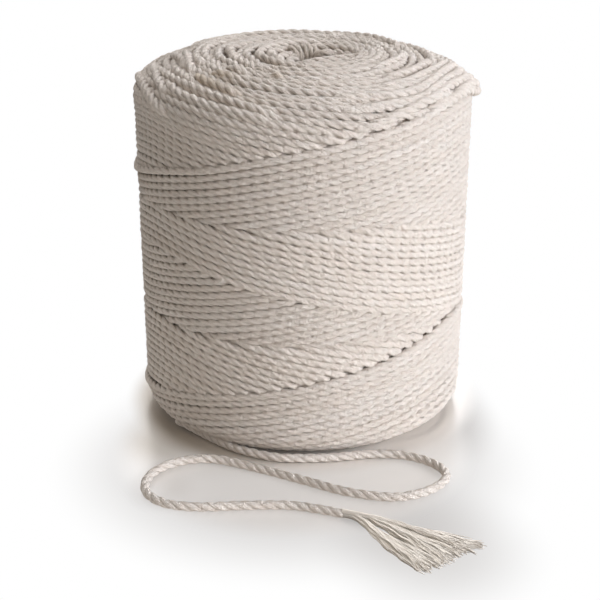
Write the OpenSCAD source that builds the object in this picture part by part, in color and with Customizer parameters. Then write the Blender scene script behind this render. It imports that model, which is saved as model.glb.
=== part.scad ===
// Coreless package of three-strand cotton cord, with its loose end lying on
// the table in front and frayed at the tip.
// Origin: centre of the flat foot. +Z runs up the package, +X to its right.

/* [Cord] */
// Diameter of the cord where it lies free
cord_d = 3; // [2.6:0.1:3.2]
// Diameter of one of the three strands that the cord is twisted from
strand_d = 1.3; // [1.1:0.05:1.35]

/* [Package] */
// Height over the top turns
package_h = 124; // [110:1:140]
// Diameter just above the bottom edge
bottom_d = 110.6; // [106:0.2:114]
// Diameter just below the shoulder
top_d = 113.4; // [108:0.2:118]
// Height of the rounded bottom edge
edge_h = 6.8; // [5:0.2:9]
// Width of the rounded bottom edge
edge_w = 10; // [8:0.5:12]
// Height of the domed shoulder
shoulder_h = 9; // [6:0.5:12]
// Width of the domed shoulder
shoulder_w = 27; // [22:1:30]
// Shoulder bend, 1 is a straight chamfer and 2 is an ellipse
shoulder_bend = 1.6; // [1.3:0.1:2.2]

/* [Bore] */
// Diameter of the hole that the winding arbor leaves
bore_d = 19; // [12:0.5:22]
// How far the hole sits to the right of the middle
bore_shift = 6; // [0:0.5:8]

/* [Outer turns] */
// Loops of cord in the outer layer
loops = 24; // [12:1:24]
// Half of what a loop climbs from its left to its right
tilt_rise = 12.5; // [0:0.5:13]
// Gap between the outer turns and the layers below
layer_gap = 0.7; // [0.6:0.1:1.2]
// Gap between the innermost top turn and the bore's rim
rim_gap = 0.5; // [0.4:0.1:1]
// Height of the cord's middle where the winding ends
end_z = 2.6; // [2:0.1:3.5]
// How far in from the side above the edge the winding ends
end_inset = 3.3; // [2.8:0.1:3.8]
// Direction in which the winding ends, seen from above
end_turn = -150; // [-165:5:-150]

/* [Frayed end] */
// Width of a strand's opened yarns at their tips
fray_w = 6.5; // [4:0.5:8]
// Thickness of a strand's opened yarns at their tips
fray_t = 1.2; // [0.8:0.1:1.4]

/* [Hidden] */
cotton = [0.87, 0.83, 0.77];
cotton_shade = [0.74, 0.69, 0.61];
cotton_fray = [0.91, 0.88, 0.82];
cord_r = cord_d / 2;
bore_r = bore_d / 2;
arc_steps = 12;         // points along each rounded stretch of the outline
loop_rings = 24;        // rings of the outer cord in one loop
loop_sides = 6;         // sides of the outer cord
tail_sides = 8;         // sides of the loose cord
tail_steps = 2;         // rings for each stretch between two route points

// ---- outline of the package, inset by a given depth: [radius, height] points
function shoulder_arc(inset) = [for (i = [0 : arc_steps])
    let (a = 90 * i / arc_steps)
    [top_d / 2 - shoulder_w - inset + shoulder_w * pow(sin(a), 2 / shoulder_bend),
     package_h - shoulder_h - inset + shoulder_h * pow(cos(a), 2 / shoulder_bend)]];
function edge_arc(inset, foot, w, h) = [for (i = [0 : arc_steps])
    let (a = 90 * i / arc_steps)
    [bottom_d / 2 - w - inset + w * cos(a), foot + h * (1 - sin(a))]];

end_r = bottom_d / 2 - end_inset;

// ---- guide line of the outer turns, from the bore's rim over the dome to the bottom edge
rim_r = bore_r + rim_gap + cord_r;
edge_stop = [for (p = edge_arc(cord_r, cord_r, edge_w, edge_h)) if (p[1] > end_z + cord_r) p];
guide = concat([[rim_r, package_h - cord_r]], shoulder_arc(cord_r), edge_stop, [[end_r, end_z]]);
function run_to(i) = i == 0 ? 0 : run_to(i - 1) + norm(guide[i] - guide[i - 1]);
runs = [for (i = [0 : len(guide) - 1]) run_to(i)];
guide_r = [for (i = [0 : len(guide) - 1]) [runs[i], guide[i][0]]];
guide_z = [for (i = [0 : len(guide) - 1]) [runs[i], guide[i][1]]];
guide_len = runs[len(runs) - 1];
function ease(x) = let (t = min(max(x, 0), 1)) t * t * (3 - 2 * t);

// Where the tilt grows and fades, and where the turns come off the bore's own centre
flat_r = top_d / 2 - shoulder_w;
tilt_from = flat_r - rim_r;
tilt_full = tilt_from + 42;
tilt_fade = 52;
function tilt(s) = tilt_rise * ease((s - tilt_from) / (tilt_full - tilt_from))
    * ease((guide_len - s) / tilt_fade);
function shift(r) = bore_shift * (1 - ease((r - rim_r) / (flat_r - rim_r)));

// Point of the outer cord after u loops, counted from the bore's rim
function turn_point(u) =
    let (a = end_turn - 360 * (loops - u),
         s = guide_len * u / loops,
         run = s - tilt(s) * cos(a),
         r = lookup(run, guide_r))
    [shift(r) + r * cos(a), r * sin(a), lookup(run, guide_z)];

// ---- tube swept along points, closed at both ends
function unit(v) = v / norm(v);
function heading(p, i) = unit(p[min(i + 1, len(p) - 1)] - p[max(i - 1, 0)]);
function side_of(t) = unit(cross([0, 0, 1], t));
function ring(c, t, sides, w, h) =
    let (across = side_of(t), up = cross(t, across))
    [for (k = [0 : sides - 1])
        let (a = 360 * (k + 0.5) / sides)
        c + across * w / 2 * cos(a) + up * h / 2 * sin(a)];
module sweep(p, sides, widths, heights) {
    n = len(p);
    pts = [for (i = [0 : n - 1])
        each ring(p[i], heading(p, i), sides, widths[i], heights[i])];
    walls = [for (i = [0 : n - 2]) for (k = [0 : sides - 1])
        let (a = i * sides + k, b = i * sides + (k + 1) % sides, c = a + sides, d = b + sides)
        each [[a, c, b], [b, c, d]]];
    caps = [for (k = [1 : sides - 2])
        each [[0, k, k + 1], [(n - 1) * sides, (n - 1) * sides + k + 1, (n - 1) * sides + k]]];
    polyhedron(points = pts, faces = concat(walls, caps));
}

// ---- outer turns: both ends run straight for one diameter
turn_path = [for (i = [0 : loops * loop_rings]) turn_point(i / loop_rings)];
last = len(turn_path) - 1;
start_dir = unit(turn_path[0] - turn_path[1]);
end_dir = unit([-sin(end_turn), cos(end_turn), 0]);
outer_path = concat([turn_path[0] + start_dir * cord_d], turn_path,
                    [turn_path[last] + end_dir * cord_d]);

// Least gap between the outer cord and itself, from each ring to the loop beside it
function to_span(p, a, b) =
    let (ab = b - a, t = min(max((p - a) * ab / (ab * ab), 0), 1))
    norm(p - a - ab * t);
near_rings = 3;
gaps = [for (i = [0 : last - loop_rings - near_rings - 1])
        for (j = [loop_rings - near_rings : loop_rings + near_rings])
        to_span(turn_path[i], turn_path[i + j], turn_path[i + j + 1])];
echo(least_gap_of_outer_turns = min(gaps) - cord_d);

// ---- route of the loose cord's middle, from the end of the winding
lie = cord_r;           // height of the middle of a cord that lies on the table
loose_start = outer_path[len(outer_path) - 1];
loose_route = [
    [-34, -40, lie], [-22, -49.5, lie], [-8, -55, lie], [8, -55, lie], [22, -52.5, lie],
    [32, -53, lie], [40, -57, lie], [45, -63, lie], [46, -69, lie], [42.5, -75.5, lie],
    [36, -80.5, lie], [27, -82.5, lie], [14, -79, lie], [0, -71, lie], [-14, -63, lie],
    [-28, -56.5, lie], [-38, -57, lie], [-46, -62.5, lie], [-50, -71, lie], [-49, -80, lie],
    [-43, -86.5, lie], [-33, -89, lie], [-18, -88, lie], [-4, -88, lie], [5, -90.5, lie],
    [13, -93.5, lie]];
loose_knots = concat([loose_start + end_dir * cord_d], loose_route);

// Smooth curve through the knots, each bent by its neighbours
function knot(k, i) = i < 0 ? 2 * k[0] - k[1] : i > len(k) - 1 ? 2 * k[i - 1] - k[i - 2] : k[i];
function bend(k, i, t) =
    let (a = knot(k, i - 1), b = knot(k, i), c = knot(k, i + 1), d = knot(k, i + 2))
    0.5 * (2 * b + (c - a) * t + (2 * a - 5 * b + 4 * c - d) * t * t
           + (3 * b - a - 3 * c + d) * t * t * t);
function smooth(k, steps) = concat(
    [for (i = [0 : len(k) - 2]) for (j = [0 : steps - 1]) bend(k, i, j / steps)],
    [k[len(k) - 1]]);
loose_path = concat([loose_start], smooth(loose_knots, tail_steps));

// ---- frayed strands, from the end of the loose cord
tip_dir = heading(loose_path, len(loose_path) - 1);
tip_side = side_of(tip_dir);
fray_start = loose_path[len(loose_path) - 1];
strand_off = strand_d * 0.62;
function strand_start(a) = fray_start + strand_off * (tip_side * cos(a) + [0, 0, 1] * sin(a));
fray_lie = fray_t / 2 + 0.05;
fray_1 = [[20, -96, 1.4], [30, -99, fray_lie], [41, -104.5, fray_lie], [51, -111.5, fray_lie]];
fray_2 = [[20, -99, 1], [28, -107, fray_lie], [37, -114.5, fray_lie], [46, -120.5, fray_lie]];
fray_3 = [[17, -101, 1.2], [22, -110, fray_lie], [29, -119.5, fray_lie], [37, -129, fray_lie]];
function blend(a, b, x) = a + (b - a) * x;

module inner_winding() {
    inset = cord_d + layer_gap;
    foot = edge_arc(inset, 0, edge_w + cord_d, edge_h + cord_d);
    color(cotton_shade)
    difference() {
        rotate_extrude($fn = 96)
            polygon(concat([[0, 0], [0, package_h - inset]], shoulder_arc(inset), foot));
        translate([bore_shift, 0, -1])
            cylinder(h = package_h + 2, r = bore_r, $fn = 64);
    }
}

module outer_winding() {
    n = len(outer_path);
    same = [for (i = [0 : n - 1]) cord_d];
    color(cotton) sweep(outer_path, loop_sides, same, same);
}

module loose_end() {
    n = len(loose_path);
    same = [for (i = [0 : n - 1]) cord_d];
    color(cotton) sweep(loose_path, tail_sides, same, same);
}

module frayed_strand(start_angle, route) {
    start = strand_start(start_angle);
    p = concat([start], smooth(concat([start + tip_dir * strand_d], route), tail_steps));
    n = len(p);
    color(cotton_fray)
    sweep(p, tail_sides, [for (i = [0 : n - 1]) blend(strand_d, fray_w, pow(i / (n - 1), 1.5))],
          [for (i = [0 : n - 1]) blend(strand_d, fray_t, i / (n - 1))]);
}
module frayed_strand_1() { frayed_strand(30, fray_1); }
module frayed_strand_2() { frayed_strand(270, fray_2); }
module frayed_strand_3() { frayed_strand(150, fray_3); }

inner_winding();
outer_winding();
loose_end();
frayed_strand_1();
frayed_strand_2();
frayed_strand_3();
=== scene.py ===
import math

import bmesh
import bpy
import numpy as np
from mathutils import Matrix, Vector


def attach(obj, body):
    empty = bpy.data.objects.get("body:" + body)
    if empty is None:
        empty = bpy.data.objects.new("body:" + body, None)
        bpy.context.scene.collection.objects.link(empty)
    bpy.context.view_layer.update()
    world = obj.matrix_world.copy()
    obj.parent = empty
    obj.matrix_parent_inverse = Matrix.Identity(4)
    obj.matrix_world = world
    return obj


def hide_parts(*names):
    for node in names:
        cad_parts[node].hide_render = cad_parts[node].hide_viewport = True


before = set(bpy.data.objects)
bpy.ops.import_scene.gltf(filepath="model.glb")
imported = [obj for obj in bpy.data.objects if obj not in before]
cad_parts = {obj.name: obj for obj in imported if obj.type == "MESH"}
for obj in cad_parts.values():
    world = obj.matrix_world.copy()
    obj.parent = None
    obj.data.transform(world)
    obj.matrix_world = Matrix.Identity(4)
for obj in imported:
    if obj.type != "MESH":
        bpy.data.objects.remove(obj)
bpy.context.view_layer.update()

mm = 0.001
scene = bpy.context.scene
scene.view_settings.view_transform = "Standard"

# ---- camera
cameraSet = {"place": (-0.000945, -0.5489, 0.2492), "pitchDown": 21.26, "lens": 100.44, "sensor": 36,
             "clip": (0.01, 60)}
lensData = bpy.data.cameras.new("studioCamera")
lensData.lens, lensData.sensor_width = cameraSet["lens"], cameraSet["sensor"]
lensData.clip_start, lensData.clip_end = cameraSet["clip"]
camera = bpy.data.objects.new("studioCamera", lensData)
camera.location = cameraSet["place"]
camera.rotation_euler = (math.radians(90 - cameraSet["pitchDown"]), 0, 0)
scene.collection.objects.link(camera)
scene.camera = camera
print("camera placed")


# ---- rope geometry, in millimetres until a mesh is made
rope = {"radius": 1.5, "lay": 11.6, "lobe": 0.9, "uneven": 0.045, "filledTo": 0.97, "endRound": 1.3,
        "endLeft": 0.3}


def ease(x):
    # 3x^2 - 2x^3 between 0 and 1
    x = np.clip(x, 0, 1)
    return x * x * (3 - 2 * x)


def over(x, start, length):
    # 0 up to start, then eased to 1 over a length
    return ease((x - start) / length)


def swell(x, middle, width):
    # exp(-((x - middle) / width)^2)
    return np.exp(-((x - middle) / width) ** 2)


def unit(v):
    # each vector divided by its own length
    return v / np.maximum(np.linalg.norm(v, axis=-1, keepdims=True), 1e-9)


def runAlong(points):
    # sum of the distances from point to point, from 0
    return np.concatenate([[0], np.cumsum(np.linalg.norm(np.diff(points, axis=0), axis=1))])


def wander(run, step, amount, seed):
    # smooth noise along a run: random heights every `step`, joined by eased slopes
    heights = np.random.default_rng(seed).uniform(-1, 1, int(run.max() / step) + 3)
    i = np.floor(run / step).astype(int)
    return amount * (heights[i] + (heights[i + 1] - heights[i]) * ease(run / step - i))


def evenPath(points, step):
    # the same line with its points a fixed run apart
    run = runAlong(points)
    even = np.linspace(0, run[-1], max(2, int(round(run[-1] / step)) + 1))
    return np.stack([np.interp(even, run, points[:, k]) for k in range(3)], 1), even


def lobedRadius(angle, lobe):
    # three circles of radius a = `lobe`, each b = radius - a from the axis: b cos d + sqrt(a^2 - b^2 sin^2 d)
    d = np.mod(angle, 2 * np.pi / 3) - np.pi / 3
    b = rope["radius"] - lobe
    return b * np.cos(d) + np.sqrt(lobe * lobe - (b * np.sin(d)) ** 2)


def column(value):
    # a number, or a number for each point, as one column
    return np.reshape(value, (-1, 1))


def oneRun(line):
    # marks where a new run starts: at the first point alone
    return np.arange(len(line)) == 0


def newPiece(name, points, faces):
    # a smooth-shaded object from points in millimetres
    mesh = bpy.data.meshes.new(name)
    mesh.from_pydata((points * mm).tolist(), [], faces)
    mesh.polygons.foreach_set("use_smooth", np.ones(len(mesh.polygons), bool))
    piece = bpy.data.objects.new(name, mesh)
    scene.collection.objects.link(piece)
    return piece


def setPoints(mesh, name, values):
    # a number for each point, which its material reads
    mesh.attributes.new(name, "FLOAT", "POINT").data.foreach_set("value", values.astype(np.float32))


def ropeFaces(starts, ends, sides, lays):
    # four-sided faces join the rings of a run, and a fan about a middle point closes each end;
    # u is the number of lays along the rope, and v the share of the way round it
    ids = np.arange(len(lays) * sides).reshape(-1, sides)
    nextIds = np.roll(ids, -1, 1)
    i = np.delete(np.arange(len(lays)), ends)
    quads = np.stack([ids[i], nextIds[i], nextIds[i + 1], ids[i + 1]], 2)
    middle = np.broadcast_to(column(ids.size + np.arange(len(starts))), (len(starts), sides))
    startFans = np.stack([middle, nextIds[starts], ids[starts]], 2)
    endFans = np.stack([middle + len(starts), ids[ends], nextIds[ends]], 2)
    k = np.arange(sides)[None, :]
    u = np.broadcast_to(np.stack([lays[i], lays[i], lays[i + 1], lays[i + 1]], 1)[:, None, :], quads.shape)
    v = np.broadcast_to(np.stack([k, k + 1, k + 1, k], 2) / sides, quads.shape)
    fanU = np.broadcast_to(lays[np.append(starts, ends)][:, None, None], (2 * len(starts), sides, 3))
    fanV = np.broadcast_to(np.stack([k + 0.5, k, k + 1], 2) / sides, fanU.shape)
    uv = np.concatenate([np.stack(pair, 3).reshape(-1, 2) for pair in ((u, v), (fanU, fanV))])
    faces = [part.reshape(-1, part.shape[2]).tolist() for part in (quads, startFans, endFans)]
    return sum(faces, []), uv


def ropeMesh(name, centre, out, along, newRun, sides, wide=1.0, high=1.0, tone=0.0, lay=rope["lay"],
             lobe=rope["lobe"], pressed=0.0, uneven=rope["uneven"], valleyShade=1.0):
    # a three-strand rope along points: at run s the section is turned by 2 pi s / lay about the line, so that
    # a column of the grid follows a strand; the valleys are filled by pressed x cos^2 of the angle from the
    # crown, and each run is closed by a rounded end
    count = len(centre)
    starts = np.flatnonzero(newRun)
    ends = np.append(starts[1:], count) - 1
    runId = np.cumsum(newRun) - 1
    ahead = np.minimum(np.arange(count) + 1, ends[runId])
    back = np.maximum(np.arange(count) - 1, starts[runId])
    tangent = unit(centre[ahead] - centre[back])
    up = unit(out - np.sum(out * tangent, 1, keepdims=True) * tangent)
    side = np.cross(tangent, up)
    toEnd = np.minimum(along - along[starts][runId], along[ends][runId] - along)
    rounding = np.sqrt(1 - (1 - np.clip(toEnd / rope["endRound"], 0, 1)) ** 2)
    rounding = rounding * (1 - rope["endLeft"]) + rope["endLeft"]
    theta = 2 * np.pi * np.arange(sides) / sides
    angle = theta + column(2 * np.pi * along / lay)
    crown = np.maximum(np.cos(angle), 0) ** 2
    radius = lobedRadius(theta, column(lobe))
    radius = radius + (rope["radius"] * rope["filledTo"] - radius) * column(pressed) * crown
    radius = radius * column(rounding)
    radius = radius * (1 + uneven * np.random.default_rng(count).uniform(-1, 1, radius.shape))
    points = (centre[:, None, :]
              + up[:, None, :] * (radius * np.cos(angle) * column(high))[:, :, None]
              + side[:, None, :] * (radius * np.sin(angle) * column(wide))[:, :, None])
    vertices = np.concatenate([points.reshape(-1, 3), centre[starts], centre[ends]])
    faces, uv = ropeFaces(starts, ends, sides, along / lay)
    piece = newPiece(name, vertices, faces)
    mesh = piece.data
    mesh.uv_layers.new(name="ropeUv").data.foreach_set("uv", uv.astype(np.float32).ravel())
    tone = np.broadcast_to(tone, (count,))
    setPoints(mesh, "tone", np.concatenate([np.repeat(tone, sides), tone[starts], tone[ends]]))
    # painted shade for the valleys between strands: none at the crown, more towards the sides, scaled by
    # valleyShade
    valleyShadeWeight = ((1 - crown) * column(valleyShade)).ravel()
    setPoints(mesh, "valleyShadeWeight", np.concatenate([valleyShadeWeight, np.ones(2 * len(starts))]))
    valley = np.zeros(len(vertices), bool)
    valley[:count * sides] = np.tile(np.arange(sides) % (sides // 3) == 0, count)
    pairs = np.empty(len(mesh.edges) * 2, np.int32)
    mesh.edges.foreach_get("vertices", pairs)
    sharp = valley[pairs.reshape(-1, 2)].all(1)
    mesh.attributes.new("sharp_edge", "BOOLEAN", "EDGE").data.foreach_set("value", sharp)
    mesh.update()
    print(f"{name}: {len(starts)} runs, {along[-1] - along[0]:.0f} mm along, {2 * count * sides} triangles")
    return piece


# ---- loose cord: from the end of the winding to the frayed tip, on its solid's route
looseCord = {
    "exit": (-43.53, -28.6, 2.6), "second": (-40.7, -30.2, 2.3), "sides": 24, "step": 0.4,
    # tone 0.9 makes the whole loose cord lighter than the turns: painted light
    # valleyShade 0.4: the loose cord's valleys get less painted shade
    "tone": 0.9, "toneWander": (40, 0.3, 5), "look": {"lobe": 0.97, "uneven": 0.015, "valleyShade": 0.4},
    "knots": [(-32.4, -38.1), (-21.5, -48.5), (-8, -54.9), (8, -55), (22, -52.5), (32, -53), (40, -57),
              (45, -63), (46, -69), (42.5, -75.5), (36, -80.5), (27, -82.5), (14, -79), (0, -71), (-14, -63),
              (-28, -56.5), (-38, -57), (-46, -62.5), (-50, -71), (-49, -80), (-43, -86.5), (-33, -89),
              (-18, -88), (-4, -88), (5, -90.5), (13, -93.5)],
}


def through(knots, steps):
    # Catmull-Rom curve: on each stretch 0.5 (2b + (c-a)t + (2a-5b+4c-d)t^2 + (3b-a-3c+d)t^3)
    k = np.asarray(knots, float)
    k = np.concatenate([[2 * k[0] - k[1]], k, [2 * k[-1] - k[-2]]])
    a, b, c, d = (k[n:len(k) - 3 + n, None, :] for n in range(4))
    t = (np.arange(steps) / steps)[None, :, None]
    curve = 0.5 * (2 * b + (c - a) * t + (2 * a - 5 * b + 4 * c - d) * t ** 2
                   + (3 * b - a - 3 * c + d) * t ** 3)
    return np.concatenate([curve.reshape(-1, 3), k[-2:-1]])


exitPoint = np.array(looseCord["exit"])
knots = [looseCord["second"]] + [(x, y, rope["radius"]) for x, y in looseCord["knots"]]
looseLine = np.concatenate([[exitPoint], through(knots, 10)])
loosePath, looseRun = evenPath(looseLine, looseCord["step"])
upward = np.broadcast_to([0.0, 0, 1], loosePath.shape)
cordPiece = ropeMesh("looseCord", loosePath, upward, looseRun, oneRun(loosePath), looseCord["sides"],
                     tone=looseCord["tone"] + wander(looseRun, *looseCord["toneWander"]), **looseCord["look"])
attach(cordPiece, "root")
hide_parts("loose_end")
print(f"loose cord {looseRun[-1]:.1f} mm long")


# ---- surface of the package at the middle of its outer cords
package = {
    "height": 124, "topWide": 113.4, "bottomWide": 110.6, "edgeHigh": 6.8, "edgeWide": 10,
    "shoulderHigh": 9, "shoulderWide": 27, "shoulderBend": 1.6, "boreWide": 19, "boreShift": 6,
    "rimRound": 3.5, "inset": 1.45, "arcPoints": 40, "step": 0.25, "smoothOver": 13,
    "side": (9, 113, 50),  # from and to a height, beyond a radius
}


def outlineOf(p):
    # radius and height down the middle of the outer cords: quarter circle out of the bore, flat top,
    # superellipse shoulder r = r0 + w sin(a)^(2/n), z = z0 + h cos(a)^(2/n), side, elliptic edge, foot
    a = np.radians(np.linspace(0, 90, p["arcPoints"]))
    bore, top = p["boreWide"] / 2 + p["inset"], p["height"] - p["inset"]
    rim = [(bore + p["rimRound"] * (1 - np.cos(t)), top - p["rimRound"] * (1 - np.sin(t))) for t in a]
    bend = 2 / p["shoulderBend"]
    sr = p["topWide"] / 2 - p["shoulderWide"] - p["inset"] + p["shoulderWide"] * np.sin(a) ** bend
    sz = top - p["shoulderHigh"] + p["shoulderHigh"] * np.cos(a).clip(0) ** bend
    er = p["bottomWide"] / 2 - p["edgeWide"] - p["inset"] + p["edgeWide"] * np.cos(a)
    ez = p["inset"] + p["edgeHigh"] * (1 - np.sin(a))
    foot = [(bore + p["rimRound"], p["inset"])]
    line = np.array(rim + list(zip(sr, sz)) + list(zip(er, ez)) + foot)
    flat = np.column_stack([line, np.zeros(len(line))])
    even, run = evenPath(flat, p["step"])
    return even[:, :2], run


outline, outlineRun = outlineOf(package)
footRun = outlineRun[-1]
kernel = np.hanning(package["smoothOver"])
kernel /= kernel.sum()
slope = unit(np.gradient(outline, axis=0))
padded = np.pad(slope, ((len(kernel) // 2,) * 2, (0, 0)), "edge")
slope = unit(np.stack([np.convolve(padded[:, k], kernel, "valid") for k in range(2)], 1))
low, high, beyond = package["side"]
sideRows = np.flatnonzero((outline[:, 1] > low) & (outline[:, 1] < high) & (outline[:, 0] > beyond))
rimR = outline[0, 0]
flatR = package["topWide"] / 2 - package["shoulderWide"]


def downTo(z):
    # run along the outline to a height on the side
    return float(np.interp(-z, -outline[sideRows, 1], outlineRun[sideRows]))


def shiftAt(r):
    # how far a circle's middle lies to the right: the bore's shift at its rim, eased to 0 at the shoulder
    return package["boreShift"] * (1 - ease((r - rimR) / (flatR - rimR)))


def onPackage(phi, s, lift):
    # azimuth, run down the outline and height over it to a point and the outward direction
    r, z = (np.interp(s, outlineRun, outline[:, k]) for k in range(2))
    dr, dz = (np.interp(s, outlineRun, slope[:, k]) for k in range(2))
    normal = np.stack([-dz * np.cos(phi), -dz * np.sin(phi), dr], 1)
    point = np.stack([shiftAt(r) + r * np.cos(phi), r * np.sin(phi), z], 1)
    return point + normal * column(lift), normal


# ---- bands of turns: each is one long spiral whose loops climb and fall, seen where no neighbour covers it
def roundTable(knots, smoothing):
    # a curve over the azimuth in degrees: straight between its knots, then averaged over `smoothing` degrees
    places, values = np.array(knots, float).T
    rounds = np.concatenate([places + turn for turn in (-360, 0, 360, 720)])
    whole = np.interp(np.arange(-180, 540), rounds, np.tile(values, 4))
    window = np.hanning(smoothing + 2)
    smooth = np.convolve(whole, window / window.sum(), "same")[180:540]
    return lambda u: np.interp(np.degrees(u) % 360, np.arange(361), np.append(smooth, smooth[0]))


# run down the outline against azimuth: how a loop of each sort falls or rises round the package
falling = roundTable([(-174, -6.4), (-153, -10), (-139, -9.2), (-122, -6), (-90, 0), (-60, 6.2), (-30, 12.4),
                      (0, 18), (25, 20.5), (50, 18.5), (90, 12), (150, 0.3)], 26)
domed = roundTable([(-174, -7), (-155, -9.8), (-139, -8.6), (-122, -6), (-90, 0.2), (-73, 3.6), (-55, 5.4),
                    (-30, 5), (-8, 5.6), (20, 7), (60, 4.5), (120, -1), (165, -5)], 16)
rising = roundTable([(-175, 14.2), (-150, 9.3), (-105, -0.2), (-60, -9.5), (-38, -14.6), (-22, -16.6),
                     (-5, -15.4), (30, -9), (90, 2.5), (140, 11.5), (165, 14.6)], 20)
upperEdge = roundTable([(-170, 1.6), (-146, 0), (-62, 0), (-41, 3.6), (-15, 8), (30, 6), (90, 2)], 24)
shoulderEdge = roundTable([(-174, 74.5), (-152, 69.2), (-139, 66.2), (-125, 63.2), (-104, 58), (-94, 55.9),
                           (-82, 53.7), (-66, 50.2), (-54, 48.1), (-44, 46.6), (-36, 45.2), (-25, 44.4),
                           (-13, 45.5), (-1, 48.2), (20, 52), (50, 56), (90, 61.5), (140, 71), (165, 74.5)], 14)
edges = {  # where two bands meet: a run down the outline, or that to a height, and how it swings
    "shoulder": shoulderEdge,
    "upper": lambda u: downTo(79.7) + upperEdge(u),
    "middle": lambda u: 107 + falling(u),
    "lower": lambda u: downTo(40.6) + 0 * u,
    "bottom": lambda u: 137.4 + rising(u),
}
swingRuns = {"dome": (4, 34), "domeShare": 0.62, "shoulder": (48, 26), "toFalling": (40, 24),
             "upper": (60, 22), "upperMean": 58.2}  # runs: start, length


def domeSwing(s, u):
    # the domed sort goes over to the falling one, and both grow outwards from the rim in two steps
    share = swingRuns["domeShare"]
    grown = share * over(s, *swingRuns["dome"]) + (1 - share) * over(s, *swingRuns["shoulder"])
    turned = over(s, *swingRuns["toFalling"])
    return grown * ((1 - turned) * domed(u) + turned * falling(u))


def upperSwing(s, u):
    # from the line of the shoulder to the rising sort
    turned = over(s, *swingRuns["upper"])
    return (shoulderEdge(u) - swingRuns["upperMean"]) * (1 - turned) + rising(u) * turned


bands = {
    "domeTurns": {"pitch": [(0, 2.75), (18, 2.95), (32, 2.85), (44, 2.55), (54, 2.4)], "seed": 11,
                  "lay": 12.8, "lobe": 0.8, "swing": domeSwing, "above": ["shoulder"], "below": []},
    "upperTurns": {"pitch": [(66, 2.6), (74, 2.38)], "seed": 21, "lay": 12.4, "lobe": 0.82,
                   "swing": upperSwing, "above": ["upper"], "below": ["shoulder"]},
    "middleTurns": {"pitch": [(0, 2.4)], "seed": 31, "lay": 13.6, "lobe": 0.8,
                    "swing": lambda s, u: falling(u), "above": ["middle", "bottom"], "below": ["upper"]},
    "waistTurns": {"pitch": [(0, 2.38)], "seed": 41, "lay": 12.4, "lobe": 0.82,
                   "swing": lambda s, u: rising(u), "above": ["lower", "bottom"], "below": ["middle"]},
    "lowerTurns": {"pitch": [(0, 2.36)], "seed": 51, "lay": 13.6, "lobe": 0.8,
                   "swing": lambda s, u: 1.05 * falling(u), "above": ["bottom"], "below": ["lower"]},
    "footTurns": {"pitch": [(0, 2.4)], "seed": 61, "lay": 12.2, "lobe": 0.82,
                  "swing": lambda s, u: rising(u) * ease((footRun - s) / 46), "above": [], "below": ["bottom"]},
}
coverOver = {"shoulder": "below", "bottom": "below", "middle": "above"}  # which side lies over the other
turnRope = {
    "sides": 12, "step": 0.78, "wide": 1.03, "wideRight": 0.1, "high": 0.99, "domeFat": 0.13, "leftThin": 0.1,
    "pressed": 0.82, "lessPressed": 0.48, "startAt": 95, "every": 0.6, "shortest": 7,
    "dome": (34, 26), "rim": (17, 10), "fat": (32, 14), "thin": (50, 8),  # runs: start, length
    "left": (-0.35, 1.1), "right": (0.1, 0.7), "rightTurn": 0.6, "domeRough": (0.35, 0.75, 0.4),
    # valleyShadeCurve: least, middle, swing and turn of the painted valley shade round the package
    "valleyShadeCurve": (0.08, 0.62, 0.6, 0.45),
    "stray": (17, 0.11), "slowStray": (40, 0.12), "domeStray": (19, 0.55), "rimStray": (8, 0.75),
    "lift": (14, 0.10), "domeLift": (31, 0.9), "tone": (60, 0.6), "fineTone": (9, 0.4),  # step, amount
}
bandEnds = {"rim": 0.3, "foot": 1.5, "spare": 1, "overSpare": 1.1, "middleLast": 106.6, "clip": 0.05}
crossing = {
    "first": 1.1, "riseWide": 1.9, "leftRise": 1.25, "rightSink": 0.55, "backRise": 0.5, "sideRise": 0.6,
    "middleRise": 0.15, "pull": 0.5, "pullWide": 1.3, "overFrom": 0.2,
    "dive": 2.5, "open": (1.3, 3.0), "coveredFrom": -0.4, "coveredRight": 0.65, "coveredLength": 1.9,
    "shoulderRise": 0.6, "shoulderPlace": (1.6, 1.2), "underFrom": -2.2,
}
replacedBy = {"domeTurns": "outer_winding"}


def bandRange(band):
    # first and last middle run of a band's loops, so that they fill it all round
    u = np.radians(np.arange(0, 360, 2.0))
    first, last = bandEnds["rim"], footRun - bandEnds["foot"]
    for _ in range(3):
        if band["below"]:
            least = min((edges[e](u) - band["swing"](first, u)).min() for e in band["below"])
            first = least - bandEnds["spare"]
        if band["above"]:
            most = max((edges[e](u) - band["swing"](last, u)).max() for e in band["above"])
            last = most + bandEnds["spare"]
    if band["below"] and coverOver.get(band["below"][0]) == "below":
        first = (edges[band["below"][0]](u) - band["swing"](first, u)).min() + bandEnds["overSpare"]
    if "middle" in band["above"]:  # a whole number of turns, so that the end lies at the back
        last, pitch = bandEnds["middleLast"], band["pitch"][0][1]
        first = last - math.ceil((last - first) / pitch) * pitch
    return max(first, bandEnds["rim"]), min(last, footRun - bandEnds["foot"])


def valleyShadeAt(u):
    # how much painted shade darkens the valleys between strands, and how deep they are left: least on the
    # right, where the key light falls
    least, middle, swing, turn = turnRope["valleyShadeCurve"]
    return least + (1 - least) * ease(middle - swing * np.cos(u + turn))


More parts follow.
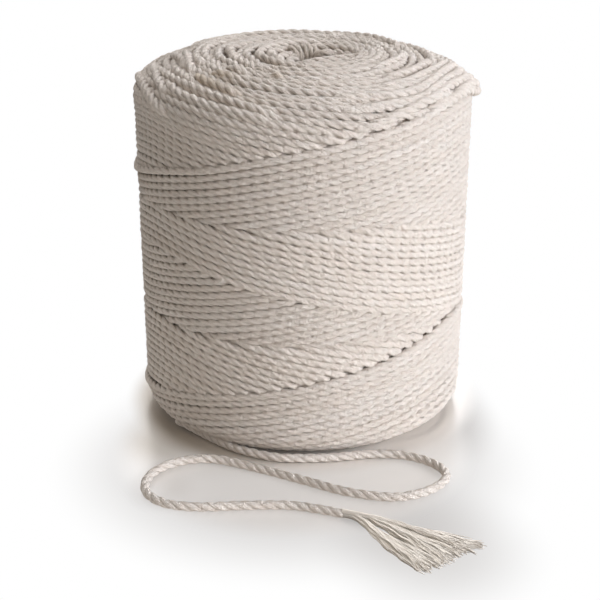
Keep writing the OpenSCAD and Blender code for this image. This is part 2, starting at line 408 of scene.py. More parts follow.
def meetEdges(band, u, s, lift, left, right):
    # d is the distance to a neighbour's line: over it the first cords stand proud, by a swell in d, and under
    # it they dive, by an ease in d; returns the run, the height and which points are left
    c = crossing
    shown = np.ones(len(u), bool)
    for end in ("above", "below"):
        for edge in band[end]:
            line = edges[edge](u)
            d = (line - s) if end == "above" else (s - line)
            if coverOver.get(edge) == end:
                rise = {"shoulder": c["leftRise"] * left - c["rightSink"] * right, "middle": c["middleRise"],
                        "bottom": c["backRise"] + c["sideRise"] * np.cos(u) ** 2}[edge]
                lift = lift + rise * swell(d, c["first"], c["riseWide"])
                s = s - c["pull"] * left * (edge == "shoulder") * swell(d, c["first"], c["pullWide"])
                shown &= d > c["overFrom"]
            else:
                start, length = c["open"]
                if edge in coverOver:
                    start = c["coveredFrom"] + c["coveredRight"] * right * (edge != "middle")
                    length = c["coveredLength"]
                lift = lift - c["dive"] * ease((start - d) / length)
                if edge == "shoulder":
                    lift = lift + c["shoulderRise"] * (1 - left) * swell(d, *c["shoulderPlace"])
                shown &= d > c["underFrom"]
    return s, lift, shown


def windBand(name, band):
    # loop angle u grows by a turn for each pitch of the middle run s0, and the run is s = s0 + swing(s0, u)
    t, seed = turnRope, band["seed"]
    first, last = bandRange(band)
    grid = np.arange(first, last, 0.1)
    gaps = np.interp(grid, *np.array(band["pitch"], float).T)
    turn = np.concatenate([[0], np.cumsum(0.1 / gaps)])[:-1]
    u = np.arange(0, turn[-1] * 2 * np.pi, math.radians(t["every"])) + math.radians(t["startAt"])
    s0 = np.interp((u - u[0]) / (2 * np.pi), turn, grid)
    rim, foot = bandEnds["clip"], footRun - bandEnds["clip"]
    s = np.clip(s0 + band["swing"](s0, u), rim, foot)
    run = runAlong(onPackage(u, s, 0)[0])
    along = np.arange(0, run[-1], t["step"])
    u, s, s0 = (np.interp(along, run, values) for values in (u, s, s0))
    dome = 1 - over(s, *t["dome"])
    left, right = over(-np.cos(u), *t["left"]), over(np.cos(u + t["rightTurn"]), *t["right"])
    s = s + wander(along, *t["stray"], seed) + wander(along, *t["slowStray"], seed + 1)
    s = s + dome * wander(along, *t["domeStray"], seed + 2)
    s = s + (1 - over(s0, *t["rim"])) * wander(along, *t["rimStray"], seed + 7)
    lift = wander(along, *t["lift"], seed + 3)
    least, atLeft, atRight = t["domeRough"]
    rough = dome * (least + atLeft * left + atRight * right)
    lift = lift + rough * wander(along, *t["domeLift"], seed + 4)
    s, lift, shown = meetEdges(band, u, s, lift, left, right)
    point, normal = onPackage(u, np.clip(s, rim, foot), lift)
    keep = np.flatnonzero(shown)
    newRun = np.diff(keep, prepend=-9) > 1
    runId = np.cumsum(newRun) - 1
    long = np.bincount(runId)[runId] > t["shortest"]
    keep, newRun = keep[long], newRun[long]
    tone = wander(along, *t["tone"], seed + 5) + wander(along, *t["fineTone"], seed + 6)
    fat = 1 - t["leftThin"] * left * over(s, *t["thin"])
    # painted valley shade, weakest on the right where the key light falls; it also sets how far the valleys are
    # filled
    valleyShade = valleyShadeAt(u)
    if name == "domeTurns":
        fat = fat + t["domeFat"] * (1 - over(s0, *t["fat"]))
        valleyShade = 0.5 + 0.5 * valleyShade
    wide = (t["wide"] + t["wideRight"] * right * (1 - dome)) * fat
    return ropeMesh(name, point[keep], normal[keep], along[keep], newRun, t["sides"], wide[keep],
                    (t["high"] * fat)[keep], tone[keep], band["lay"], band["lobe"],
                    (t["pressed"] - t["lessPressed"] * valleyShade)[keep], valleyShade=valleyShade[keep])


turnPieces = {name: windBand(name, band) for name, band in bands.items()}
for name, piece in turnPieces.items():
    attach(piece, "root")
    if name in replacedBy:
        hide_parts(replacedBy[name])

# ---- single turns that lie over the dome's others
proud = {
    "sides": 15, "step": 0.72, "dive": 1.9, "diveOver": 7.5, "apart": 5, "wide": 1.12, "flat": 0.96,
    "lobe": 0.86, "lay": 12.6, "pressed": 0.25, "tone": 0.1,
    "stray": (13, 0.25), "lift": (11, 0.22), "toneWander": (9, 0.35),  # step, amount
}
proudRuns = [  # points: azimuth, run down the outline, height over the others; then what differs
    ([(-196, 44, 0), (-184, 41.6, 0.4), (-176, 40.8, 0.9), (-168, 40.5, 1.2), (-158, 41.8, 1.4),
      (-150, 43.2, 1.3), (-142, 45.6, 1)], {}),
    ([(-192, 49, 0.3), (-182, 46.8, 0.8), (-172, 45.6, 1), (-166, 45.5, 1.1), (-157, 46.2, 1.1),
      (-150, 47.5, 1), (-142, 49.2, 0.8), (-135, 51.4, 0.5)], {}),
    ([(-157, 40, 1), (-147, 41.2, 1), (-140, 42.5, 1), (-132, 43, 1), (-123, 44.2, 0.9), (-114, 45.2, 0.8),
      (-104, 46.8, 0.7), (-96, 48.4, 0.6)], {}),
    ([(-180, 40, 0.4), (-167, 38.4, 0.8), (-158, 37.9, 0.8), (-148, 38, 0.8), (-138, 38.2, 0.8),
      (-128, 39, 0.7), (-119, 40.5, 0.7), (-109, 42.5, 0.6), (-100, 45.4, 0.6), (-94, 47.2, 0.6)], {}),
    ([(-152, 31.4, 1), (-144, 32.5, 1.2), (-135, 33.8, 1.2), (-126, 34.8, 1), (-118, 36.5, 0.9),
      (-110, 37.8, 0.8)], {"tone": -1.6}),
    ([(-147, 26.6, 1.2), (-139, 27.5, 1.4), (-130, 28.3, 1.3), (-121, 29.3, 1),
      (-112, 30.4, 0.8)], {"tone": -1.45}),
    ([(-200, 33.5, 0.3), (-190, 30.8, 0.8), (-180, 29.2, 1.2), (-166, 29, 1.3), (-156, 30.5, 1.2),
      (-146, 32, 0.9)], {}),
    ([(-176, 26.4, 0.8), (-166, 26, 1.2), (-156, 26.3, 1.2), (-148, 27, 1)], {}),
    ([(-200, 39.5, 0), (-192, 35.5, 0.6), (-182, 32, 1), (-172, 30.6, 1), (-162, 33, 0.8)], {}),
    ([(-172, 35.5, 0.5), (-162, 34.6, 0.8), (-152, 34.8, 0.8), (-142, 35.6, 0.6), (-132, 36.4, 0.5)], {}),
    ([(-150, 21, 0.8), (-138, 21.4, 1), (-126, 22.6, 0.9), (-116, 24, 0.7)], {}),
    ([(-140, 17.4, 0.7), (-126, 17, 1), (-114, 18, 0.9), (-102, 19.8, 0.6)], {"tone": 0.6}),
    ([(-116, 19.8, 0.9), (-109, 21.2, 1.2), (-103, 22.4, 1.1), (-95, 23.4, 0.9)], {"tone": -1.6}),
    ([(-78, 50.6, 0.3), (-68, 49, 0.8), (-58, 47.3, 1.1), (-48, 45.9, 1.2), (-40, 44.8, 1.2),
      (-32, 43.8, 1.1), (-24, 43.3, 1), (-14, 44.1, 1), (-4, 46.2, 1.2), (6, 48.7, 1.2),
      (18, 51, 0.6)], {"wide": 1.14, "lobe": 0.88}),
    ([(-82, 45, 0.2), (-70, 43.7, 0.6), (-58, 43.6, 0.8), (-50, 43.5, 0.8), (-42, 42.7, 0.8),
      (-33, 41.3, 0.8), (-24, 40.8, 0.8), (-14, 41.2, 0.8), (-2, 43.2, 0.8),
      (10, 45.8, 0.7)], {"wide": 1.14, "lobe": 0.93}),
    ([(-84, 37.4, 0.3), (-68, 37.9, 0.7), (-58, 39.2, 0.9), (-48, 39.7, 0.9), (-40, 39.3, 0.9),
      (-32, 38.5, 0.9), (-23, 37.9, 0.9), (-12, 38.6, 0.9), (0, 40.6, 0.8),
      (12, 43.4, 0.6)], {"wide": 1.2, "lobe": 0.93}),
    ([(-62, 34, 0.3), (-50, 34.4, 0.7), (-42, 34.8, 0.8), (-34, 34.6, 0.8), (-24, 34.4, 0.8),
      (-12, 35.6, 0.8), (0, 37.6, 0.7), (12, 40, 0.5)], {"wide": 1.14, "lobe": 0.93}),
    ([(-54, 28.4, 0.3), (-44, 29.6, 0.7), (-34, 30.2, 0.8), (-24, 30.4, 0.8), (-12, 31.4, 0.8),
      (2, 33.6, 0.6)], {"lobe": 0.93}),
    ([(-52, 22.4, 0.4), (-36, 21.8, 0.7), (-20, 22.4, 0.8), (-4, 24, 0.8), (14, 26, 0.7)], {}),
    ([(-46, 47.8, -0.6), (-36, 47, -0.4), (-26, 46.8, 0), (-14, 47.8, 0.5), (-7, 49.2, 1.7), (-1, 50.6, 2.9),
      (5, 52.4, 2.9), (13, 54.5, 1.2)], {"wide": 1.2}),
    ([(-30, 46.4, -0.8), (-18, 46.4, -0.2), (-9, 47.3, 1), (-2, 48.5, 2.2), (5, 50.2, 2.4),
      (13, 52.2, 0.9)], {"wide": 1.2}),
    ([(20, 27, 0.7), (40, 29, 0.8), (62, 31.5, 0.8), (84, 33.5, 0.6)], {}),
    ([(58, 22, 0.6), (80, 23, 0.8), (104, 25.5, 0.8), (128, 28, 0.8), (146, 27, 0.6)], {}),
    ([(96, 37, 0.5), (118, 38, 0.8), (138, 36.5, 0.8), (158, 33.5, 0.6)], {}),
]


def layProud():
    # each run follows a curve through its points, whose third number is the height over the other turns,
    # and dives at both ends
    rings, total = [], 0.0
    for number, (line, differs) in enumerate(proudRuns):
        look = {**proud, **differs}
        curve = through(line, 12)
        u, s, lift = np.radians(curve[:, 0]), curve[:, 1], curve[:, 2]
        gone = runAlong(onPackage(u, s, 0)[0])
        along = np.arange(0, gone[-1], proud["step"])
        u, s, lift = (np.interp(along, gone, values) for values in (u, s, lift))
        toEnd = np.minimum(along, along[-1] - along)
        height = lift - (lift + proud["dive"]) * (1 - ease(toEnd / proud["diveOver"]))
        s = s + wander(along, *proud["stray"], 200 + number)
        height = height + wander(along, *proud["lift"], 240 + number)
        point, normal = onPackage(u, s, height)
        flat = np.ones(len(along))
        rings.append({"centre": point, "out": normal, "along": along + total, "newRun": oneRun(along),
                      "wide": look["wide"] * flat, "lobe": look["lobe"] * flat,
                      # painted valley shade on the proud turns, never below 0.65
                      "valleyShade": 0.65 + 0.35 * valleyShadeAt(u),
                      "tone": look["tone"] + wander(along, *proud["toneWander"], 280 + number)})
        total += along[-1] + proud["apart"]
    joined = {key: np.concatenate([ring[key] for ring in rings]) for key in rings[0]}
    return ropeMesh("proudTurns", sides=proud["sides"], high=joined["wide"] * proud["flat"],
                    lay=proud["lay"], pressed=proud["pressed"], **joined)


proudTurns = layProud()
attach(proudTurns, "root")

# ---- turns that line the bore, one spiral down its wall
boreLining = {"pitch": 2.62, "wall": 1.5, "low": 1.6, "high": 119.2, "step": 1.05, "sides": 9, "thick": 0.95,
              "lift": (12, 0.15, 71), "tone": -1.4, "toneWander": (50, 0.4, 72)}
radius = package["boreWide"] / 2 + boreLining["wall"]
turns = (boreLining["high"] - boreLining["low"]) / boreLining["pitch"]
u = np.arange(0, turns * 2 * np.pi, math.radians(3))
line = np.stack([package["boreShift"] + radius * np.cos(u), radius * np.sin(u),
                 boreLining["high"] - boreLining["pitch"] * u / (2 * np.pi)], 1)
line, along = evenPath(line, boreLining["step"])
inward = unit(np.stack([package["boreShift"] - line[:, 0], -line[:, 1], 0 * along], 1))
line[:, 2] += wander(along, *boreLining["lift"])
boreTurns = ropeMesh("boreTurns", line, inward, along, oneRun(line), boreLining["sides"], boreLining["thick"],
                     boreLining["thick"], wander(along, *boreLining["toneWander"]) + boreLining["tone"])
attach(boreTurns, "root")


# ---- short stretches of cord that hang over the rim and cross the bore, in millimetres
boreStubs = {
    "sides": 12, "step": 0.6, "apart": 5, "lean": 4, "thinTone": -1.2,
    "runs": [  # width, then points
        (0.6, [(-5.2, 11, 123.2), (-3.0, 9.4, 122.9), (-1.9, 6.9, 121.2), (-1.5, 5.6, 117), (-1.4, 5.4, 112)]),
        (0.6, [(-3.4, 12.4, 123.4), (-1.4, 9.6, 123.1), (-0.5, 7.2, 121.2), (-0.1, 6.4, 117), (0, 6.4, 112)]),
        (0.6, [(-0.4, 13.4, 123.5), (1.0, 10.2, 123), (1.5, 8.2, 120.9), (1.6, 7.8, 117), (1.7, 7.8, 112)]),
        (0.6, [(1.2, 13.4, 123.5), (2.5, 10.2, 123.1), (3.0, 7.8, 121.1), (3.1, 7.2, 117), (3.1, 7.2, 112)]),
        (0.6, [(3.4, 13.6, 123.4), (4.2, 10.8, 122.9), (4.4, 8.6, 121), (4.3, 8, 117), (4.3, 8, 112)]),
        (0.85, [(3.4, 8.6, 118), (4.6, 6.6, 121.4), (6.4, 5.6, 122.5), (8.6, 6, 122.4), (10.2, 8, 121),
                (10.6, 9, 118)]),
        (1.1, [(-3, -11, 121), (2, -8.4, 122.2), (7, -6.4, 122.6), (12, -4, 122.6), (16.5, 0.3, 122),
               (19.5, 6, 120.6)]),
        (1.05, [(2, -11.4, 121.6), (8, -9.2, 122.4), (13.4, -6.6, 122.2), (17.6, -2, 121.6), (20, 4, 120.6)]),
    ],
}
stubWidths, stubPoints = zip(*boreStubs["runs"])
stubLines, stubRuns = zip(*[evenPath(through(points, 10), boreStubs["step"]) for points in stubPoints])
stubOffsets = np.cumsum([0] + [run[-1] + boreStubs["apart"] for run in stubRuns[:-1]])
stubCentre = np.concatenate(stubLines)
toAxis = np.array([package["boreShift"], 0, 0]) - stubCentre
toAxis[:, 2] = boreStubs["lean"]
stubWide = np.repeat(stubWidths, [len(run) for run in stubRuns])
stubPiece = ropeMesh("boreStubs", stubCentre, unit(toAxis),
                     np.concatenate([run + offset for run, offset in zip(stubRuns, stubOffsets)]),
                     np.concatenate([oneRun(run) for run in stubRuns]), boreStubs["sides"], stubWide, stubWide,
                     np.where(stubWide > 1, 0.0, boreStubs["thinTone"]), lobe=1)
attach(stubPiece, "root")


# ---- shaded turns underneath, seen only through the gaps: one sheet whose dark colour is painted shade
under = {"depth": 1.3, "columns": 144, "every": 4, "boreGap": 2.6, "lowest": 1.5, "footBelow": 20}
outer, tilt = outline[::under["every"]], slope[::under["every"]]
inset = outer - np.stack([-tilt[:, 1], tilt[:, 0]], 1) * under["depth"]
r = np.maximum(inset[:, :1], package["boreWide"] / 2 + under["boreGap"])
z = np.maximum(inset[:, 1:], under["lowest"])
move = np.where(z < under["footBelow"], shiftAt(r), shiftAt(outer[:, :1]))
phi = 2 * np.pi * np.arange(under["columns"]) / under["columns"]
points = np.stack([move + r * np.cos(phi), r * np.sin(phi), z + 0 * phi], 2)
grid = np.arange(points.shape[0] * points.shape[1]).reshape(points.shape[:2])
below = np.roll(grid, -1, 0)
quads = np.stack([grid, below, np.roll(below, -1, 1), np.roll(grid, -1, 1)], 2)
underTurns = newPiece("underTurns", points.reshape(-1, 3), quads.reshape(-1, 4).tolist())
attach(underTurns, "root")
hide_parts("inner_winding")
print("package wound")


# ---- frayed strands: yarns of fine fibres that fan out from the cord's end
fray = {
    "yarns": 17, "fibres": 20, "segments": 20, "fibreWide": 0.21, "coreExtra": 0.3, "thinnerTip": 0.4,
    "soft": 6, "startWide": 0.8, "startHigh": 0.6, "flatter": 0.3, "waves": 0.18, "bow": 0.4, "upWaves": 0.2,
    "own": (0.2, 0.5), "ownTurn": 9, "stray": 1.3, "yarnTone": 0.35, "fibreTone": 0.4,
    "yarnTips": (0.9, 1), "fibreTips": (0.86, 1), "waveLong": (0.14, 0.22),  # least and most
    "strands": {
        "frayedStrand1": {"tipWide": 4.4, "route": [
            (12, -93.2, 2.1), (17, -94.9, 1.9), (21.4, -96.4, 1.7), (29.9, -100.4, 1.3), (39, -105.2, 1.1),
            (47.4, -111, 1.0), (53, -114.6, 0.9)]},
        "frayedStrand2": {"tipWide": 5.0, "route": [
            (12, -93.2, 1.5), (19.2, -95.6, 1.5), (23.7, -99.5, 1.4), (30.7, -106.4, 1.2), (36.8, -112.6, 1.1),
            (41.5, -117.6, 1.0), (45, -121.4, 0.9)]},
        "frayedStrand3": {"tipWide": 4.2, "route": [
            (12, -93.2, 1.2), (15.5, -95, 1.4), (18.3, -98.4, 1.4), (24.4, -108.6, 1.2), (30.8, -117.4, 1.1),
            (35, -122.8, 1.0), (38.6, -127.6, 0.9)]},
    },
}


def frayedMesh(name, strand, seed):
    # fibre j at share t of the route: route(t) + across (a_j w(t) + waves) + up (b_j h(t) + waves), w growing
    # with t; each fibre is a three-sided tube that thins towards its tip
    rng = np.random.default_rng(seed)
    yarns, fibres, segments = fray["yarns"], fray["fibres"], fray["segments"]
    count = yarns * fibres
    curve, run = evenPath(through(strand["route"], 12), 0.5)

    def route(share):
        # points at shares of the route's length
        return np.stack([np.interp(share, run / run[-1], curve[:, k]) for k in range(3)], 2)

    def perYarn(least, most):
        # one random number for all the fibres of a yarn
        return np.repeat(rng.uniform(least, most, yarns), fibres)

    tip = perYarn(*fray["yarnTips"]) * rng.uniform(*fray["fibreTips"], count)
    t = np.linspace(0, 1, segments + 1)[None, :] * tip[:, None]
    tangent = unit(route(t + 0.02) - route(t - 0.02))
    across = unit(np.stack([-tangent[..., 1], tangent[..., 0], 0 * t], 2))
    angle = perYarn(0, 2 * np.pi)
    reach = np.sqrt(perYarn(0.05, 1))
    spreadTo = np.repeat(np.linspace(-1, 1, yarns) + rng.uniform(-0.1, 0.1, yarns), fibres)
    spread = over(t, 0.05, 1.1)
    wide = fray["startWide"] + (strand["tipWide"] - fray["startWide"]) * spread
    a = (reach * np.cos(angle))[:, None] * (1 - spread) + spreadTo[:, None] * spread
    b = (reach * np.sin(angle))[:, None]
    phase, length, bow = (column(perYarn(*ends)) for ends in ((0, 2 * np.pi), fray["waveLong"], (-1, 1)))
    wave = fray["waves"] * np.sin(phase + 2 * np.pi * t / length) + fray["bow"] * bow * np.sin(np.pi * t)
    wave = wave * ease(t / 0.3)
    ownAngle = rng.uniform(0, 2 * np.pi, (count, 1)) + fray["ownTurn"] * t
    core = (np.arange(count) % fibres == 0)[:, None]  # one thick fibre fills the middle of each yarn
    own = fray["own"][0] + fray["own"][1] * spread
    own = own * np.sqrt(rng.uniform(0.05, 1, (count, 1))) * ~core
    stray = fray["stray"] * rng.uniform(-1, 1, (count, 1)) ** 3 * spread * ~core
    high = fray["startHigh"] * (1 - fray["flatter"] * spread)
    centre = route(t) + across * (a * wide + wave + own * np.cos(ownAngle) + stray)[..., None]
    centre[..., 2] += b * high + own * np.sin(ownAngle) + fray["upWaves"] * wave
    least = fray["fibreWide"] + fray["coreExtra"] * core
    centre[..., 2] = np.maximum(centre[..., 2], least)
    direction = unit(np.gradient(centre, axis=1))
    side = unit(np.cross([0.0, 0, 1], direction))
    up = np.cross(direction, side)
    corner = 2 * np.pi * np.arange(3) / 3 + 0.5
    thick = least * (1 - fray["thinnerTip"] * np.linspace(0, 1, segments + 1) ** 6)
    thick = thick[:, :, None, None]
    ring = centre[:, :, None, :] + thick * (side[:, :, None, :] * np.cos(corner)[:, None]
                                            + up[:, :, None, :] * np.sin(corner)[:, None])
    ids = np.arange(count * (segments + 1) * 3).reshape(count, -1, 3)
    nextIds = np.roll(ids, -1, 2)
    quads = np.stack([ids[:, :-1], nextIds[:, :-1], nextIds[:, 1:], ids[:, 1:]], 3)
    caps = np.concatenate([ids[:, 0, [0, 2, 1]], ids[:, -1]])
    piece = newPiece(name, ring.reshape(-1, 3), quads.reshape(-1, 4).tolist() + caps.tolist())
    tones = perYarn(-1, 1) * fray["yarnTone"] + rng.uniform(-fray["fibreTone"], fray["fibreTone"], count)
    setPoints(piece.data, "tone", np.repeat(tones, (segments + 1) * 3))
    leaning = unit((ring - centre[:, :, None, :]) / thick + np.array([0, 0, fray["soft"]]))
    piece.data.normals_split_custom_set_from_vertices(leaning.reshape(-1, 3).tolist())  # lit as fluff is
    print(f"{name}: {count} fibres, {count * (6 * segments + 2)} triangles")
    return piece


frayPieces = []
for number, (name, strand) in enumerate(fray["strands"].items(), 1):
    piece = frayedMesh(name, strand, 80 + number)
    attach(piece, "root")
    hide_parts(f"frayed_strand_{number}")
    frayPieces.append(piece)


# ---- materials
class Wire:
    # a socket whose operators add Math nodes
    def __init__(self, graph, socket):
        self.graph, self.socket = graph, socket

    def math(self, operation, other=0.5):
        # one Math node; each operator below is one of its operations
        return self.graph.get("ShaderNodeMath", {"operation": operation}, {0: self, 1: other})

    def __add__(self, other):
        return self.math("ADD", other)

    def __sub__(self, other):
        return self.math("SUBTRACT", other)

    def __mul__(self, other):
        return self.math("MULTIPLY", other)


class Graph:
    # the nodes of a material or a world
    def __init__(self, owner, output="ShaderNodeOutputMaterial"):
        owner.use_nodes = True
        self.owner, self.tree = owner, owner.node_tree
        self.tree.nodes.clear()
        self.surface = self.add(output)

    def add(self, kind, settings=None, sockets=None):
        # one node of a type, its settings first, then a value or a link for each socket
        node = self.tree.nodes.new(kind)
        for key, value in (settings or {}).items():
            setattr(node, key, value)
        for key, value in (sockets or {}).items():
            if isinstance(value, Wire):
                self.tree.links.new(value.socket, node.inputs[key])
            else:
                node.inputs[key].default_value = value
        return node

    def get(self, kind, settings=None, sockets=None, output=0):
        # the output of a new node
        return self.wire(self.add(kind, settings, sockets), output)

    def wire(self, node, output=0):
        # one output of a node
        return Wire(self, node.outputs[output])

    def parts(self, vector):
        # its three coordinates
        node = self.add("ShaderNodeSeparateXYZ", None, {0: vector})
        return [self.wire(node, k) for k in range(3)]

    def show(self, shader):
        # a shader's node as the surface; returns what the graph belongs to
        self.tree.links.new(shader.outputs[0], self.surface.inputs[0])
        return self.owner

    def blend(self, share, first, second):
        # from one shader to another
        return self.add("ShaderNodeMixShader", None, {0: share, 1: self.wire(first), 2: self.wire(second)})

    def mix(self, share, first, second):
        # from one colour to another
        return self.get("ShaderNodeMix", {"data_type": "RGBA"}, {0: share, 6: first, 7: second}, 2)

    def shade(self, share, look):
        # from a look's dark colour to its light one
        return self.mix(share, linear(look["dark"]), linear(look["light"]))

    def ramp(self, value, start, end, kind="LINEAR"):
        # 0 to 1 while a value goes from start to end
        return self.get("ShaderNodeMapRange", {"interpolation_type": kind},
                        {0: value, 1: start, 2: end})

    def noise(self, place, scale, detail, settings=None, rough=0.6):
        # 0 to 1, with features of 1 / scale
        return self.get("ShaderNodeTexNoise", settings,
                        {"Vector": place, "Scale": scale, "Detail": detail, "Roughness": rough})

    def attribute(self, name):
        # a number that the mesh holds for each point
        return self.get("ShaderNodeAttribute", {"attribute_name": name}, None, 2)

    def objectPlace(self):
        # metres from the object's origin
        return self.get("ShaderNodeTexCoord", None, None, 3)


def linear(colour):
    # a screen colour, 0 to 255, as the light values that a shader takes
    c = np.array(colour) / 255
    c = np.where(c <= 0.04045, c / 12.92, ((c + 0.055) / 1.055) ** 2.4)
    return (*c.tolist(), 1)


# valley: the colour of the painted shade in the valleys between strands
cotton = {"light": (242, 232, 221), "dark": (228, 214, 199), "tan": (208, 188, 162), "tint": (236, 218, 204),
          "valley": (150, 130, 110), "fibre": (212, 198, 184), "rough": 0.92, "sheen": 0.2, "shine": 0.2,
          "grainScale": 1500.0, "patchScale": 420.0, "bump": (0.0011, 0.9)}
# shadedCotton: dark colours that paint the shade on the sheet under the turns
shadedCotton = {"dark": (132, 114, 98), "light": (170, 152, 136), "scale": 900.0, "bump": (0.0003, 0.6),
                "rough": 0.95, "sheen": 0.0, "shine": 0.1}
frayCotton = {"dark": (226, 212, 195), "light": (240, 230, 217), "rough": 0.9, "sheen": 0.2, "shine": 0.2}


def cloth(g, look, colour, height=None):
    # a rough surface whose bump follows a height; returns the material
    sockets = {"Base Color": colour, "Roughness": look["rough"], "Specular IOR Level": look["shine"],
               "Sheen Weight": look["sheen"]}
    if height is not None:
        distance, strength = look["bump"]
        sockets["Normal"] = g.get("ShaderNodeBump", None,
                                  {"Height": height, "Distance": distance, "Strength": strength})
    return g.show(g.add("ShaderNodeBsdfPrincipled", None, sockets))


def cottonRope(name):
    # fibres run along the strands, and painted shade darkens the valleys between strands away from the crown
    g = Graph(bpy.data.materials.new(name))
    along, around = g.parts(g.get("ShaderNodeUVMap", {"uv_map": "ropeUv"}))[:2]
    tone, valleyShadeWeight = g.attribute("tone"), g.attribute("valleyShadeWeight")
    place = g.get("ShaderNodeCombineXYZ", None, {0: around * 22 + along * 2.0, 1: along * 7.0})
    fibres = g.noise(place, 1.0, 3.0, {"noise_dimensions": "2D"})
    grain = g.noise(g.objectPlace(), cotton["grainScale"], 2.0)
    patch = g.noise(g.objectPlace(), cotton["patchScale"], 2.0)
    third = (around * 3).math("FRACT")
    fromCrown = (third * 2 - 1).math("ABSOLUTE")
    # painted shade in the valleys between strands
    valley = g.ramp(fromCrown, 0.5, 1.05, "SMOOTHSTEP") * (valleyShadeWeight * 0.85 + 0.03)
    toned = g.shade(g.ramp(tone, -1.0, 1.0), cotton)
    tanned = g.mix(g.ramp(tone, -1.1, -1.8), toned, linear(cotton["tan"]))
    tinted = g.mix(g.ramp(patch, 0.35, 0.65) * 0.5, tanned, linear(cotton["tint"]))
    worn = g.mix(g.ramp(fibres, 0.3, 0.7) * 0.45, tinted, linear(cotton["fibre"]))
    colour = g.mix(valley, worn, linear(cotton["valley"]))
    return cloth(g, cotton, colour, fibres + grain * 0.7 + patch * 0.8)


def paintedShadeCotton(name):
    # cotton without its strands, dark with painted shade: fine mottling on object coordinates
    g = Graph(bpy.data.materials.new(name))
    noise = g.noise(g.objectPlace(), shadedCotton["scale"], 3.0, rough=0.5)
    return cloth(g, shadedCotton, g.shade(noise, shadedCotton), noise)


def frayedCotton(name):
    # each fibre has one colour, by its tone
    g = Graph(bpy.data.materials.new(name))
    return cloth(g, frayCotton, g.shade(g.ramp(g.attribute("tone"), -1.0, 1.0), frayCotton))


ropeFinish = cottonRope("cottonCord")
underShadeFinish = paintedShadeCotton("shadedCotton")
frayFinish = frayedCotton("frayedCotton")
for piece in [cordPiece, boreTurns, stubPiece, proudTurns, *turnPieces.values()]:
    piece.data.materials.append(ropeFinish)
underTurns.data.materials.append(underShadeFinish)
for piece in frayPieces:
    piece.data.materials.append(frayFinish)
print("materials made")


# ---- floor and light
studio = {
    # shaded: painted shade and a warm painted reflection in the gloss's colour near the foot, inside the foot
    # ellipse
    "grey": (240, 233, 225), "shaded": (178, 164, 146), "mirror": 0.34, "rough": 0.27, "shine": 0.5,
    # dark: the tint of the painted shadows in the glow
    "dark": (0.08, 0.03, 0, 1), "sky": (0.0, 0.08), "reach": 20, "backdrop": 12, "sheetHigh": 0.1,
    "far": ((0.0, 0.3), (0.3, 0.5)), "darkFrom": (1.15, 1.6), "whiteFrom": (1.0, 1.14),
    "foot": ((-0.03, -0.004), (1, 1), 0.040, 0.068),
    # ellipses of the floor: middle, half axes, where each starts and ends, and the share left inside it
    "bared": [((-0.0035, -0.043), (0.048, 0.0507), 1.0, 1.3, 0.458),  # inside the loop of cord
              ((0, 0), (0.98, 1.03), 0.0547, 0.0651, 0.08),  # round the foot
              ((-0.046, -0.044), (0.012, 0.016), 0.2, 1.3, 0.65)],  # where the cord comes out
    # paintedShadows: painted shadows in the floor's glow
    "paintedShadows": [((-0.0027, -0.054), (0.0699, 0.0713), 0.618, 1.186, 0.723),  # the package's
               ((0.0388, -0.1119), (0.0236, 0.0291), 0.2, 1.6, 0.706),  # the frayed end's
               ((0.052, -0.021), (0.013, 0.031), 0.2, 1.4, 0.71),  # right of the foot
               ((-0.045, -0.073), (0.009, 0.013), 0.3, 1.5, 0.8)],  # left of the loop
}
white, black = (1, 1, 1, 1), (0, 0, 0, 1)


def stagePiece(name, mesh, material):
    # part of the studio, not of the object
    mesh.materials.append(material)
    piece = bpy.data.objects.new(name, mesh)
    scene.collection.objects.link(piece)
    return piece


def stagePlane(name, reach, height, material):
    # a square round the origin
    mesh = bpy.data.meshes.new(name)
    corners = [(-1, -1), (1, -1), (1, 1), (-1, 1)]
    mesh.from_pydata([(reach * x, reach * y, height) for x, y in corners], [], [(0, 1, 2, 3)])
    return stagePiece(name, mesh, material)


class FloorGraph(Graph):
    # a material that changes over the floor's x and y
    def __init__(self, name):
        super().__init__(bpy.data.materials.new(name))
        self.x, self.y = self.parts(self.objectPlace())[:2]

    def farFrom(self, middle, half, start, end):
        # 0 to 1 with the distance from a point of the floor, in units of an ellipse's half axes
        dx, dy = (self.x - middle[0]) * (1 / half[0]), (self.y - middle[1]) * (1 / half[1])
        return self.ramp((dx * dx + dy * dy).math("SQRT"), start, end, "SMOOTHSTEP")

    def away(self, start, end):
        # the same, from the middle of the lit floor
        return self.farFrom(*studio["far"], start, end)

    def shaded(self, ellipses):
        # the product over the ellipses of far (1 - left) + left
        product = 1.0
        for middle, half, start, end, left in ellipses:
            product = (self.farFrom(middle, half, start, end) * (1 - left) + left) * product
        return product

    def light(self, colour):
        # a surface that gives off its colour
        return self.add("ShaderNodeEmission", None, {"Color": colour})


def paleFloor(name):
    # painted white glow over a faint gloss that is bared round the foot and inside the loop of cord; the glow
    # holds painted shadows round the package, the loop and the frayed end
    g = FloorGraph(name)
    # the gloss is darker and warmer near the foot: painted shade and painted reflection
    base = g.mix(g.farFrom(*studio["foot"]), linear(studio["shaded"]), linear(studio["grey"]))
    gloss = g.add("ShaderNodeBsdfPrincipled", None,
                  {"Base Color": base, "Roughness": studio["rough"], "Metallic": studio["mirror"],
                   "Specular IOR Level": studio["shine"]})
    # painted shadows in the glow
    shadowedGlow = g.mix(g.shaded(studio["paintedShadows"]), studio["dark"], white)
    # a painted glow: the floor gives off light though it is no lamp
    lit = g.light(g.mix(g.away(*studio["darkFrom"]), shadowedGlow, black))
    return g.show(g.blend(g.shaded(studio["bared"]), gloss, lit))


def farWhite(name):
    # clear over the floor that is lit, and white from before it grows dark
    g = FloorGraph(name)
    return g.show(g.blend(g.away(*studio["whiteFrom"]), g.add("ShaderNodeBsdfTransparent"), g.light(white)))


stagePlane("studioFloor", studio["reach"], 0, paleFloor("paleFloor"))

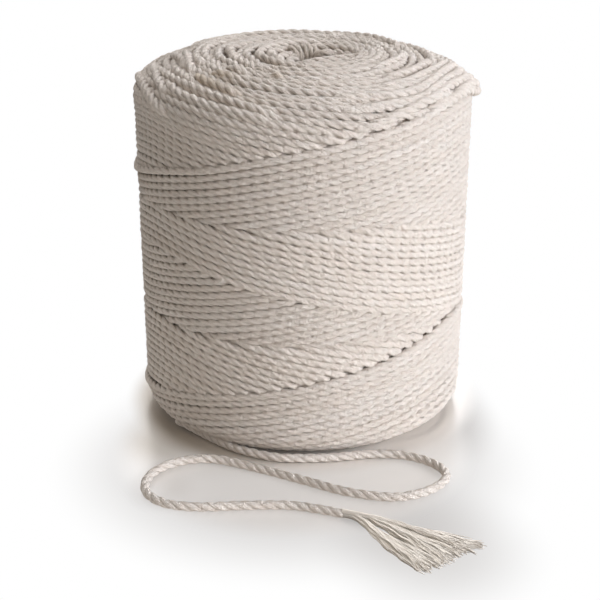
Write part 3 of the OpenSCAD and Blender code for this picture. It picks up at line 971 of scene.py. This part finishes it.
# ---- a white backdrop that is seen and lights nothing: a sheet over the far floor, and a ball all round
ball = bmesh.new()
bmesh.ops.create_icosphere(ball, subdivisions=3, radius=studio["backdrop"])
bmesh.ops.reverse_faces(ball, faces=ball.faces)
shell = bpy.data.meshes.new("studioBackdrop")
ball.to_mesh(shell)
ball.free()
backdropFinish = farWhite("farWhite")
for piece in (stagePlane("studioFarFloor", studio["backdrop"], studio["sheetHigh"] * mm, backdropFinish),
              stagePiece("studioBackdrop", shell, backdropFinish)):
    piece.visible_diffuse = piece.visible_glossy = piece.visible_transmission = False
    piece.visible_volume_scatter = piece.visible_shadow = False

# ---- a sky that grows lighter with height, and five soft lamps
low, high = studio["sky"]
sky = Graph(bpy.data.worlds.new("studioWorld"), "ShaderNodeOutputWorld")
upwards = sky.parts(sky.get("ShaderNodeTexCoord"))[2]
glow = sky.get("ShaderNodeMapRange", None, {0: upwards, 3: low, 4: high})
scene.world = sky.show(sky.add("ShaderNodeBackground", None, {"Color": white, "Strength": glow}))

lamps = {  # azimuth, elevation, distance, size, power, colour
    "keyLight": (-30, 14, 1.1, 0.9, 22.2, (0.86, 0.91, 1.0)),
    "frontCard": (-95, 20, 1.2, 0.9, 4.1, (1, 0.965, 0.93)),
    "sideCard": (0, 15, 1.1, 0.9, 1.2, (1, 1, 1)),
    "leftCard": (180, 45, 1.2, 0.9, 2.5, (1, 0.97, 0.93)),
    "backCard": (90, 50, 1.6, 1.6, 29, (0.92, 0.95, 1.0)),
}
for name, (azimuth, elevation, distance, size, power, colour) in lamps.items():
    # a square lamp on a ball round the package's middle, turned to it
    a, e = math.radians(azimuth), math.radians(elevation)
    towards = Vector((math.cos(a) * math.cos(e), math.sin(a) * math.cos(e), math.sin(e)))
    data = bpy.data.lights.new(name, "AREA")
    data.shape, data.size, data.energy, data.color = "SQUARE", size, power, colour
    lamp = bpy.data.objects.new(name, data)
    lamp.location = Vector((0, 0, 0.06)) + towards * distance
    lamp.rotation_euler = towards.to_track_quat("Z", "Y").to_euler()
    scene.collection.objects.link(lamp)
print("studio lit")
